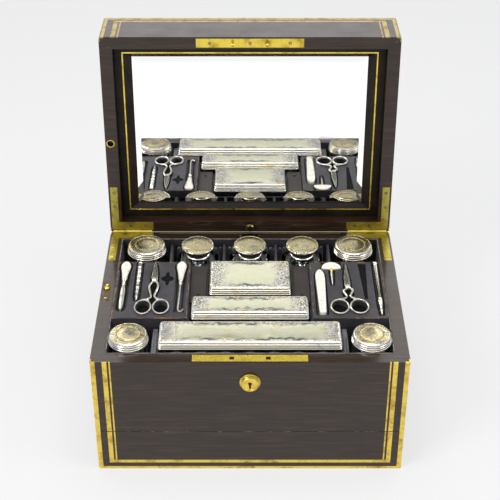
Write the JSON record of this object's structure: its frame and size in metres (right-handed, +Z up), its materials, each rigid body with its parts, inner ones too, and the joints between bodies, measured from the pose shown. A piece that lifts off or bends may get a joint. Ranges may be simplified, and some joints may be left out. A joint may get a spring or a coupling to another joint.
{
  "type": "fitted dressing box",
  "caption": "Hinged dressing box with brass-bound case, mirror in the lid, silver-capped glass jars and boxes, tool panels and a sprung drawer.",
  "frame": {"origin": "middle of the underside of the case", "axes": "+Z up, -Y the front with the keyhole, +X to the right of someone facing the front"},
  "size_m": [0.305, 0.297, 0.3629],
  "materials": {
    "wood": "ebonised rosewood veneer, french polished",
    "leather": "dark morocco leather over board",
    "brass": "polished, aged brass",
    "steel": "old polished steel",
    "silver": "silver with worn gilding",
    "pearl": "mother-of-pearl",
    "cut_glass": "cut glass",
    "mirror": "bevelled silvered plate"
  },
  "bodies": {
    "case": {"case_shell": "wood", "case_floor": "wood", "drawer_deck": "wood", "rim_lining": "leather", "cross_dividers": "leather", "short_dividers": "leather", "padded_linings": "leather", "base_brasswork": "brass", "lock_plate": "brass", "escutcheon": "brass", "release_plate": "brass", "base_hinge_leaves": "brass", "drawer_spring": "steel"},
    "lid": {"lid_shell": "wood", "lid_brasswork": "brass", "striker_plate": "brass", "lid_hinge_leaves": "brass", "lid_wallet": "leather"},
    "mirror": {"mirror_frame": "leather", "mirror_glass": "mirror"},
    "mirror_catch": {"mirror_catch": "brass"},
    "drawer": {"drawer_front": "wood", "drawer_box": "wood", "drawer_inlay": "brass"},
    "release_button": {"release_button": "brass"},
    "lock_bolt": {"lock_bolt": "brass"},
    "tool_panel_left": {"tool_panel_left": "leather"},
    "tool_panel_right": {"tool_panel_right": "leather"},
    "little_lid_left": {"little_lid_left": "leather"},
    "little_lid_right": {"little_lid_right": "leather"},
    "nail_file": {"nail_file": "pearl"},
    "button_hook": {"button_hook": "pearl"},
    "chased_pencil": {"chased_pencil": "silver"},
    "plain_pencil": {"plain_pencil": "silver"},
    "penknife": {"penknife": "pearl"},
    "piercer": {"piercer": "pearl"},
    "scissors_left_lower": {"scissors_left_lower": "steel"},
    "scissors_left_upper": {"scissors_left_upper": "steel"},
    "scissors_right_lower": {"scissors_right_lower": "steel"},
    "scissors_right_upper": {"scissors_right_upper": "steel"},
    "big_jar_left_glass": {"big_jar_left_glass": "cut_glass"},
    "big_jar_left_cap": {"big_jar_left_cap": "silver"},
    "big_jar_right_glass": {"big_jar_right_glass": "cut_glass"},
    "big_jar_right_cap": {"big_jar_right_cap": "silver"},
    "small_jar_left_glass": {"small_jar_left_glass": "cut_glass"},
    "small_jar_left_cap": {"small_jar_left_cap": "silver"},
    "small_jar_right_glass": {"small_jar_right_glass": "cut_glass"},
    "small_jar_right_cap": {"small_jar_right_cap": "silver"},
    "bottle_left_glass": {"bottle_left_glass": "cut_glass"},
    "bottle_left_cap": {"bottle_left_cap": "silver"},
    "bottle_middle_glass": {"bottle_middle_glass": "cut_glass"},
    "bottle_middle_cap": {"bottle_middle_cap": "silver"},
    "bottle_right_glass": {"bottle_right_glass": "cut_glass"},
    "bottle_right_cap": {"bottle_right_cap": "silver"},
    "box_front_glass": {"box_front_glass": "cut_glass"},
    "box_front_cap": {"box_front_cap": "silver"},
    "box_middle_glass": {"box_middle_glass": "cut_glass"},
    "box_middle_cap": {"box_middle_cap": "silver"},
    "box_back_glass": {"box_back_glass": "cut_glass"},
    "box_back_cap": {"box_back_cap": "silver"}
  },
  "joints": [
    {"name": "lid_hinge", "type": "hinge", "parent": "case", "child": "lid", "pos_m": [0, 0.113, 0.1372], "axis": [-1, 0, 0], "range_deg": [-93, 0]},
    {"name": "mirror_tilt", "type": "hinge", "parent": "lid", "child": "mirror", "pos_m": [0, 0.14206, 0.34396], "axis": [-1, 0, 0], "range_deg": [0, 7]},
    {"name": "mirror_catch_slide", "type": "slide", "parent": "lid", "child": "mirror_catch", "axis": [1, 0, 0], "range_m": [0, 0.003], "stiffness_N_per_m": 200, "springref_m": -0.001},
    {"name": "drawer_slide", "type": "slide", "parent": "case", "child": "drawer", "axis": [0, -1, 0], "range_m": [0, 0.15]},
    {"name": "release_button_press", "type": "slide", "parent": "case", "child": "release_button", "axis": [0, 0, -1], "range_m": [0, 0.003], "stiffness_N_per_m": 300, "springref_m": -0.001},
    {"name": "lock_bolt_throw", "type": "slide", "parent": "case", "child": "lock_bolt", "axis": [1, 0, 0], "range_m": [0, 0.003]},
    {"name": "tool_panel_left_lift", "type": "slide", "parent": "case", "child": "tool_panel_left", "axis": [0, 0, 1], "range_m": [0, 0.05]},
    {"name": "little_lid_left_lift", "type": "slide", "parent": "case", "child": "little_lid_left", "axis": [0, 0, 1], "range_m": [0, 0.03]},
    {"name": "tool_panel_right_lift", "type": "slide", "parent": "case", "child": "tool_panel_right", "axis": [0, 0, 1], "range_m": [0, 0.05]},
    {"name": "little_lid_right_lift", "type": "slide", "parent": "case", "child": "little_lid_right", "axis": [0, 0, 1], "range_m": [0, 0.03]},
    {"name": "nail_file_lift", "type": "slide", "parent": "tool_panel_left", "child": "nail_file", "axis": [0, 0, 1], "range_m": [0, 0.02]},
    {"name": "button_hook_lift", "type": "slide", "parent": "tool_panel_left", "child": "button_hook", "axis": [0, 0, 1], "range_m": [0, 0.02]},
    {"name": "chased_pencil_lift", "type": "slide", "parent": "tool_panel_left", "child": "chased_pencil", "axis": [0, 0, 1], "range_m": [0, 0.02]},
    {"name": "plain_pencil_lift", "type": "slide", "parent": "tool_panel_right", "child": "plain_pencil", "axis": [0, 0, 1], "range_m": [0, 0.02]},
    {"name": "penknife_lift", "type": "slide", "parent": "tool_panel_right", "child": "penknife", "axis": [0, 0, 1], "range_m": [0, 0.02]},
    {"name": "piercer_lift", "type": "slide", "parent": "tool_panel_right", "child": "piercer", "axis": [0, 0, 1], "range_m": [0, 0.02]},
    {"name": "scissors_left_lower_lift", "type": "slide", "parent": "tool_panel_left", "child": "scissors_left_lower", "axis": [0, 0, 1], "range_m": [0, 0.02]},
    {"name": "scissors_left_pivot", "type": "hinge", "parent": "scissors_left_lower", "child": "scissors_left_upper", "pos_m": [-0.0984, 0.0147, 0.1421], "axis": [0, 0, 1], "range_deg": [0, 9]},
    {"name": "scissors_right_lower_lift", "type": "slide", "parent": "tool_panel_right", "child": "scissors_right_lower", "axis": [0, 0, 1], "range_m": [0, 0.02]},
    {"name": "scissors_right_pivot", "type": "hinge", "parent": "scissors_right_lower", "child": "scissors_right_upper", "pos_m": [0.0999, 0.0026, 0.1421], "axis": [0, 0, 1], "range_deg": [0, 12]},
    {"name": "big_jar_left_glass_lift", "type": "slide", "parent": "case", "child": "big_jar_left_glass", "axis": [0, 0, 1], "range_m": [0, 0.09]},
    {"name": "big_jar_left_cap_lift", "type": "slide", "parent": "big_jar_left_glass", "child": "big_jar_left_cap", "axis": [0, 0, 1], "range_m": [0, 0.03]},
    {"name": "big_jar_right_glass_lift", "type": "slide", "parent": "case", "child": "big_jar_right_glass", "axis": [0, 0, 1], "range_m": [0, 0.09]},
    {"name": "big_jar_right_cap_lift", "type": "slide", "parent": "big_jar_right_glass", "child": "big_jar_right_cap", "axis": [0, 0, 1], "range_m": [0, 0.03]},
    {"name": "small_jar_left_glass_lift", "type": "slide", "parent": "case", "child": "small_jar_left_glass", "axis": [0, 0, 1], "range_m": [0, 0.09]},
    {"name": "small_jar_left_cap_lift", "type": "slide", "parent": "small_jar_left_glass", "child": "small_jar_left_cap", "axis": [0, 0, 1], "range_m": [0, 0.03]},
    {"name": "small_jar_right_glass_lift", "type": "slide", "parent": "case", "child": "small_jar_right_glass", "axis": [0, 0, 1], "range_m": [0, 0.09]},
    {"name": "small_jar_right_cap_lift", "type": "slide", "parent": "small_jar_right_glass", "child": "small_jar_right_cap", "axis": [0, 0, 1], "range_m": [0, 0.03]},
    {"name": "bottle_left_glass_lift", "type": "slide", "parent": "case", "child": "bottle_left_glass", "axis": [0, 0, 1], "range_m": [0, 0.09]},
    {"name": "bottle_left_cap_lift", "type": "slide", "parent": "bottle_left_glass", "child": "bottle_left_cap", "axis": [0, 0, 1], "range_m": [0, 0.03]},
    {"name": "bottle_middle_glass_lift", "type": "slide", "parent": "case", "child": "bottle_middle_glass", "axis": [0, 0, 1], "range_m": [0, 0.09]},
    {"name": "bottle_middle_cap_lift", "type": "slide", "parent": "bottle_middle_glass", "child": "bottle_middle_cap", "axis": [0, 0, 1], "range_m": [0, 0.03]},
    {"name": "bottle_right_glass_lift", "type": "slide", "parent": "case", "child": "bottle_right_glass", "axis": [0, 0, 1], "range_m": [0, 0.09]},
    {"name": "bottle_right_cap_lift", "type": "slide", "parent": "bottle_right_glass", "child": "bottle_right_cap", "axis": [0, 0, 1], "range_m": [0, 0.03]},
    {"name": "box_front_glass_lift", "type": "slide", "parent": "case", "child": "box_front_glass", "axis": [0, 0, 1], "range_m": [0, 0.09]},
    {"name": "box_front_cap_lift", "type": "slide", "parent": "box_front_glass", "child": "box_front_cap", "axis": [0, 0, 1], "range_m": [0, 0.03]},
    {"name": "box_middle_glass_lift", "type": "slide", "parent": "case", "child": "box_middle_glass", "axis": [0, 0, 1], "range_m": [0, 0.09]},
    {"name": "box_middle_cap_lift", "type": "slide", "parent": "box_middle_glass", "child": "box_middle_cap", "axis": [0, 0, 1], "range_m": [0, 0.03]},
    {"name": "box_back_glass_lift", "type": "slide", "parent": "case", "child": "box_back_glass", "axis": [0, 0, 1], "range_m": [0, 0.09]},
    {"name": "box_back_cap_lift", "type": "slide", "parent": "box_back_glass", "child": "box_back_cap", "axis": [0, 0, 1], "range_m": [0, 0.03]}
  ]
}
